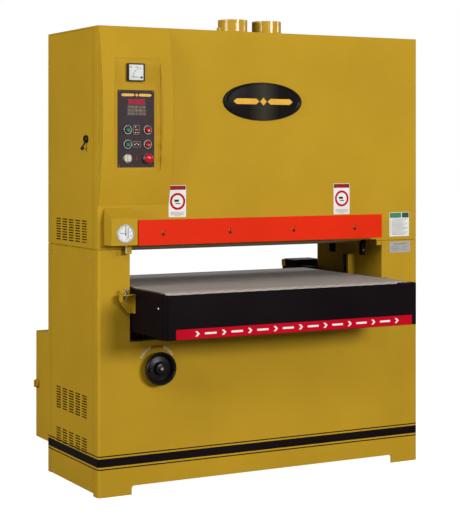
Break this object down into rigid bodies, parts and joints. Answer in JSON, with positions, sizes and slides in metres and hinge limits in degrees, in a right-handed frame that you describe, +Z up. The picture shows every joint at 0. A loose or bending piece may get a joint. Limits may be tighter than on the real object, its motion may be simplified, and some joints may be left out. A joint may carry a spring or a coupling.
{
  "type": "wide-belt sander",
  "caption": "Floor-standing wide-belt sanding machine: tall steel cabinet with a throat, a rise-and-fall conveyor table, side door, control recess and dust outlets.",
  "frame": {"origin": "middle of the whole machine's footprint box, on the floor", "axes": "+X to the operator's right, +Y to the back, +Z up; the machine faces -Y"},
  "size_m": [1.6278, 1.12, 2.01],
  "materials": {
    "yellow_paint": "glossy powder coat",
    "black_paint": "satin enamel",
    "guard_red": "satin enamel",
    "badge_black": "gloss",
    "panel_dark": "matt membrane",
    "button_green": "gloss",
    "button_red": "gloss",
    "cream_plastic": "satin",
    "meter_case": "gloss",
    "dial_white": "satin print",
    "needle_black": "matt",
    "chrome": "plated",
    "steel": "machined",
    "feed_rubber": "rough-top rubber",
    "drum_rubber": "ground rubber",
    "drive_rubber": "matt",
    "abrasive": "grit on cloth",
    "motor_grey": "painted casting",
    "contactor_grey": "matt"
  },
  "bodies": {
    "root": {"lower_housing": "yellow_paint", "lower_side_cover": "yellow_paint", "upper_housing": "yellow_paint", "dust_port_left": "yellow_paint", "dust_port_right": "yellow_paint", "oval_badge": "badge_black", "control_fairing": "yellow_paint", "control_plate": "panel_dark", "load_meter": "meter_case", "gauge_box": "yellow_paint", "gauge_dial": "dial_white", "guard_carrier": "yellow_paint", "main_motor": "motor_grey", "drive_v_belt": "drive_rubber", "abrasive_belt": "abrasive", "drum_bearing_left": "black_paint", "head_frame": "steel", "tension_cylinder": "steel", "lift_base": "black_paint", "guide_post": "black_paint", "guide_bar": "yellow_paint", "electrical_cabinet": "yellow_paint", "contactor_bank": "contactor_grey"},
    "belt_door": {"belt_door": "yellow_paint"},
    "door_latch": {"door_latch": "black_paint"},
    "meter_needle": {"meter_needle": "needle_black"},
    "drum_start": {"drum_start_button": "button_green"},
    "drum_stop": {"drum_stop_button": "button_red"},
    "feed_start": {"feed_start_button": "button_green"},
    "feed_stop": {"feed_stop_button": "button_red"},
    "selector": {"selector_switch": "cream_plastic"},
    "emergency_stop": {"emergency_stop_button": "button_red"},
    "gauge_pointer": {"gauge_pointer": "needle_black"},
    "limit_plunger": {"limit_plunger": "chrome"},
    "guard_board": {"guard_board": "guard_red"},
    "electrical_door": {"electrical_door": "yellow_paint"},
    "main_switch": {"main_switch_knob": "black_paint"},
    "contact_drum": {"contact_drum": "drum_rubber"},
    "motor_pulley": {"motor_pulley": "steel"},
    "tension_rod": {"tension_rod": "chrome"},
    "tension_yoke": {"tension_yoke": "steel"},
    "tension_roller": {"tension_roller": "steel"},
    "front_hold_down": {"pressure_frame_front": "black_paint"},
    "front_pressure_roller": {"pressure_roller_front": "steel"},
    "rear_hold_down": {"pressure_frame_rear": "black_paint"},
    "rear_pressure_roller": {"pressure_roller_rear": "steel"},
    "handwheel": {"handwheel": "black_paint"},
    "table": {"table_frame": "black_paint", "table_bed": "steel", "feed_belt": "feed_rubber", "feed_gearmotor": "black_paint", "jack_screw_1": "steel", "jack_screw_2": "steel", "jack_screw_3": "steel", "jack_screw_4": "steel", "limit_bracket": "yellow_paint", "limit_bolt": "chrome"},
    "feed_drive_roller": {"feed_drive_roller": "steel"},
    "feed_idler_roller": {"feed_idler_roller": "steel"},
    "estop_panel": {"estop_apron": "black_paint"}
  },
  "joints": [
    {"name": "table_lift", "type": "slide", "parent": "root", "child": "table", "axis": [0, 0, 1], "range_m": [0, 0.145]},
    {"name": "handwheel_turn", "type": "hinge", "parent": "root", "child": "handwheel", "pos_m": [-0.518, -0.2, 0.518], "axis": [0, 1, 0], "range_deg": [0, 5221]},
    {"name": "gauge_pointer_turn", "type": "hinge", "parent": "root", "child": "gauge_pointer", "pos_m": [-0.6965, -0.27, 1.086], "axis": [0, 1, 0], "range_deg": [0, 301]},
    {"name": "limit_plunger_press", "type": "slide", "parent": "root", "child": "limit_plunger", "axis": [0, 0, 1], "range_m": [0, 0.005], "stiffness_N_per_m": 300},
    {"name": "feed_drive_spin", "type": "hinge", "parent": "table", "child": "feed_drive_roller", "pos_m": [-0.046, 0.346, 0.806], "axis": [1, 0, 0], "continuous": true},
    {"name": "feed_idler_spin", "type": "hinge", "parent": "table", "child": "feed_idler_roller", "pos_m": [-0.046, -0.484, 0.806], "axis": [1, 0, 0], "continuous": true},
    {"name": "estop_panel_push", "type": "hinge", "parent": "table", "child": "estop_panel", "pos_m": [-0.0485, -0.554, 0.848], "axis": [1, 0, 0], "range_deg": [0, 4], "stiffness_Nm_per_rad": 25},
    {"name": "contact_drum_spin", "type": "hinge", "parent": "root", "child": "contact_drum", "pos_m": [-0.026, 0.023, 1.09], "axis": [1, 0, 0], "continuous": true},
    {"name": "motor_pulley_spin", "type": "hinge", "parent": "root", "child": "motor_pulley", "pos_m": [0.704, 0.075, 0.2], "axis": [1, 0, 0], "continuous": true},
    {"name": "tension_lift", "type": "slide", "parent": "root", "child": "tension_rod", "axis": [0, 0, 1], "range_m": [-0.015, 0], "deforming": ["abrasive_belt"]},
    {"name": "tension_tracking", "type": "hinge", "parent": "tension_rod", "child": "tension_yoke", "pos_m": [-0.025, 0.023, 1.64], "axis": [0, 0, 1], "range_deg": [-1.2, 1.2]},
    {"name": "tension_roller_spin", "type": "hinge", "parent": "tension_yoke", "child": "tension_roller", "pos_m": [-0.026, 0.023, 1.81], "axis": [1, 0, 0], "continuous": true},
    {"name": "front_hold_down_lift", "type": "slide", "parent": "root", "child": "front_hold_down", "axis": [0, 0, 1], "range_m": [0, 0.006], "stiffness_N_per_m": 8000, "springref_m": -0.006},
    {"name": "front_pressure_spin", "type": "hinge", "parent": "front_hold_down", "child": "front_pressure_roller", "pos_m": [-0.026, -0.104, 1.0315], "axis": [1, 0, 0], "continuous": true},
    {"name": "rear_hold_down_lift", "type": "slide", "parent": "root", "child": "rear_hold_down", "axis": [0, 0, 1], "range_m": [0, 0.006], "stiffness_N_per_m": 8000, "springref_m": -0.006},
    {"name": "rear_pressure_spin", "type": "hinge", "parent": "rear_hold_down", "child": "rear_pressure_roller", "pos_m": [-0.026, 0.15, 1.0315], "axis": [1, 0, 0], "continuous": true},
    {"name": "belt_door_swing", "type": "hinge", "parent": "root", "child": "belt_door", "pos_m": [-0.786, 0.3175, 1.475], "axis": [0, 0, -1], "range_deg": [0, 110]},
    {"name": "door_latch_turn", "type": "hinge", "parent": "belt_door", "child": "door_latch", "pos_m": [-0.786, -0.084, 1.474], "axis": [-1, 0, 0], "range_deg": [0, 90]},
    {"name": "electrical_door_swing", "type": "hinge", "parent": "root", "child": "electrical_door", "pos_m": [-0.1665, 0.551, 0.369], "axis": [0, 0, -1], "range_deg": [0, 110]},
    {"name": "main_switch_turn", "type": "hinge", "parent": "root", "child": "main_switch", "pos_m": [-0.766, 0.525, 0.372], "axis": [-1, 0, 0], "range_deg": [0, 90]},
    {"name": "guard_board_adjust", "type": "slide", "parent": "root", "child": "guard_board", "axis": [0, 0, 1], "range_m": [-0.0095, 0]},
    {"name": "drum_start_press", "type": "slide", "parent": "root", "child": "drum_start", "axis": [0, 1, 0], "range_m": [0, 0.004], "stiffness_N_per_m": 400},
    {"name": "drum_stop_press", "type": "slide", "parent": "root", "child": "drum_stop", "axis": [0, 1, 0], "range_m": [0, 0.004], "stiffness_N_per_m": 400},
    {"name": "feed_start_press", "type": "slide", "parent": "root", "child": "feed_start", "axis": [0, 1, 0], "range_m": [0, 0.004], "stiffness_N_per_m": 400},
    {"name": "feed_stop_press", "type": "slide", "parent": "root", "child": "feed_stop", "axis": [0, 1, 0], "range_m": [0, 0.004], "stiffness_N_per_m": 400},
    {"name": "emergency_stop_press", "type": "slide", "parent": "root", "child": "emergency_stop", "axis": [0, 1, 0], "range_m": [0, 0.006], "stiffness_N_per_m": 600},
    {"name": "selector_turn", "type": "hinge", "parent": "root", "child": "selector", "pos_m": [-0.6678, -0.225, 1.394], "axis": [0, 1, 0], "range_deg": [-45, 45]},
    {"name": "meter_needle_swing", "type": "hinge", "parent": "root", "child": "meter_needle", "pos_m": [-0.6075, -0.235, 1.728], "axis": [0, 1, 0], "range_deg": [0, 85], "stiffness_Nm_per_rad": 0.02}
  ],
  "couplings": [
    {"joint": "handwheel_turn", "follows": "table_lift", "rad_per_m": 628.32},
    {"joint": "gauge_pointer_turn", "follows": "table_lift", "rad_per_m": 36},
    {"joint": "feed_idler_spin", "follows": "feed_drive_spin", "ratio": 1},
    {"joint": "motor_pulley_spin", "follows": "contact_drum_spin", "ratio": 1},
    {"joint": "tension_roller_spin", "follows": "contact_drum_spin", "ratio": 1.3}
  ]
}
